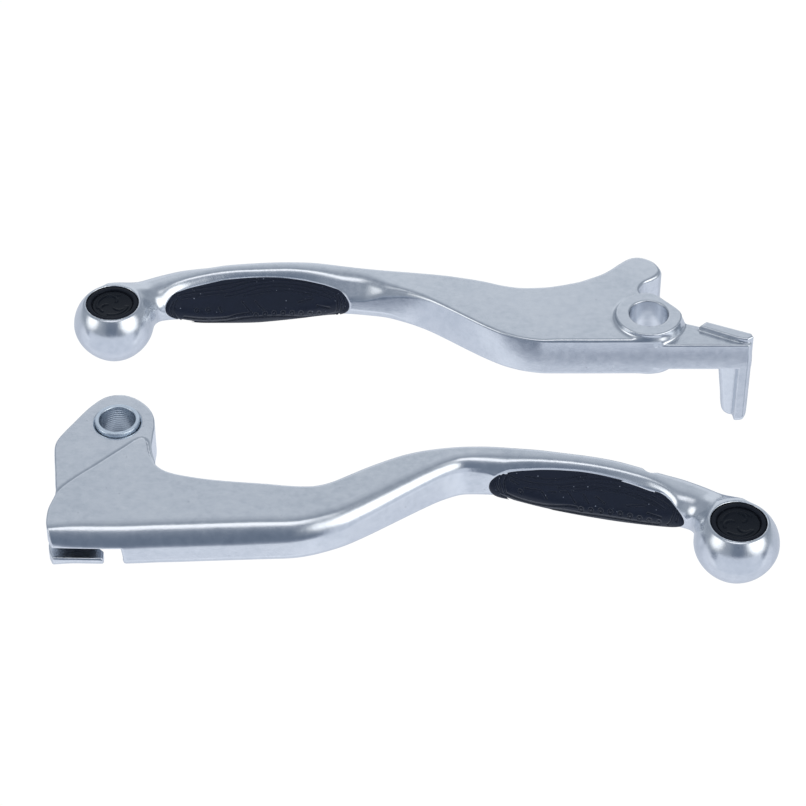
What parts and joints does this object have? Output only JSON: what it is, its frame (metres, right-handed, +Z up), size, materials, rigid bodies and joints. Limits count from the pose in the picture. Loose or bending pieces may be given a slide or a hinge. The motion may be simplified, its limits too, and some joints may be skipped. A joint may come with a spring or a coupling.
{
  "type": "handlebar control lever set",
  "caption": "Matched cable clutch lever and hydraulic brake lever in cast aluminium, with ball ends, rubber finger grips, round end caps and a steel pivot bush.",
  "frame": {"origin": "on the clutch lever's pivot axis, at the mid-plane of the lever", "axes": "+Z up along both pivot axes, +X along the clutch lever from its pivot towards its ball end, +Y from the levers' front faces towards the handlebar"},
  "size_m": [0.1576, 0.1004, 0.0262],
  "materials": {
    "cast_aluminium": "satin tumbled cast aluminium",
    "zinc_steel": "turned and zinc plated steel",
    "grip_rubber": "matte moulded rubber with a raised tread",
    "cap_plastic": "black plastic, glossy centre and matte rim"
  },
  "bodies": {
    "pivot_bush": {"clutch_pivot_bush": "zinc_steel"},
    "clutch_lever": {"clutch_lever_casting": "cast_aluminium", "clutch_finger_grip": "grip_rubber", "clutch_end_cap": "cap_plastic"},
    "brake_lever": {"brake_lever_casting": "cast_aluminium", "brake_finger_grip": "grip_rubber", "brake_end_cap": "cap_plastic"}
  },
  "joints": [
    {"name": "clutch_lever_swing", "type": "hinge", "parent": "pivot_bush", "child": "clutch_lever", "pos_m": [0, 0, 0], "axis": [0, 0, 1], "range_deg": [-25, 0]},
    {"name": "brake_lever_swing", "type": "hinge", "parent": "pivot_bush", "child": "brake_lever", "pos_m": [0.1202, 0.035, 0], "axis": [0, 0, -1], "range_deg": [0, 20]}
  ]
}
